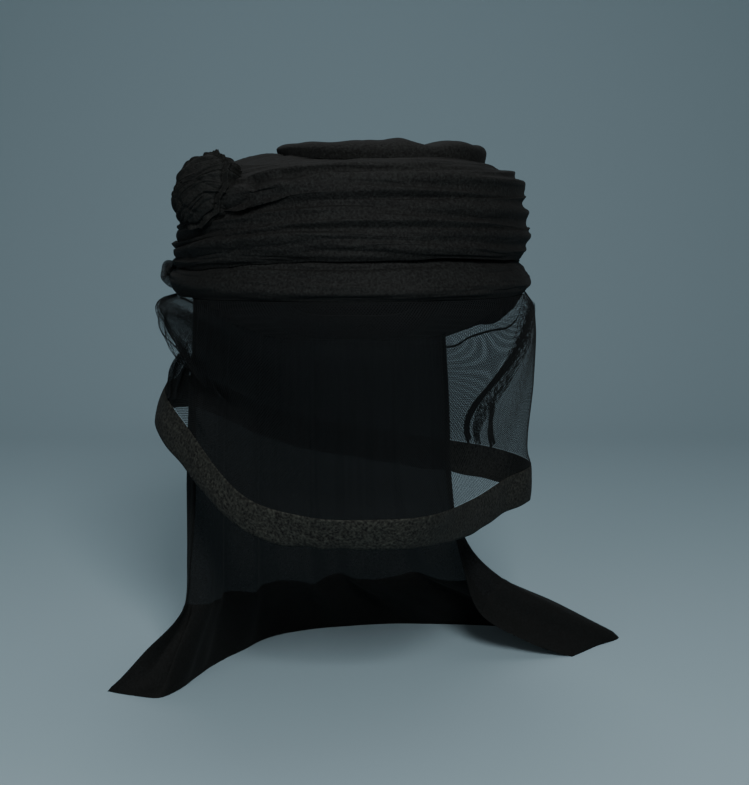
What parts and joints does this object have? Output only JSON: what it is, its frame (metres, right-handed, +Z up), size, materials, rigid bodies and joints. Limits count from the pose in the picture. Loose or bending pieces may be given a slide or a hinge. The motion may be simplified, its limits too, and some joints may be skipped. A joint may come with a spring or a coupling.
{
  "type": "veiled mourning hat",
  "caption": "Wide draped toque of black crape with a ruched side rosette, a net veil bordered with crape round the face, and a long crape veil behind.",
  "frame": {"origin": "centre of the head opening, level with the middle of the tilted rim, where the hat sits on a head", "axes": "+Z up, the hat faces -Y, +X is the wearer's left"},
  "size_m": [0.4523, 0.3305, 0.4549],
  "materials": {
    "crape": "matte crimped crape",
    "border_crape": "matte crimped crape, single",
    "veil_crape": "sheer crimped crape",
    "hem_crape": "matte crimped crape, double",
    "net": "fine open net"
  },
  "bodies": {
    "root": {"brim": "crape", "crown_drapery": "crape", "crown_tip": "crape", "rosette": "crape", "net_gather": "net", "face_net": "net", "net_border": "border_crape", "back_veil": "veil_crape", "veil_hem": "hem_crape", "veil_side_hem_left": "hem_crape", "veil_side_hem_right": "hem_crape"}
  },
  "joints": []
}
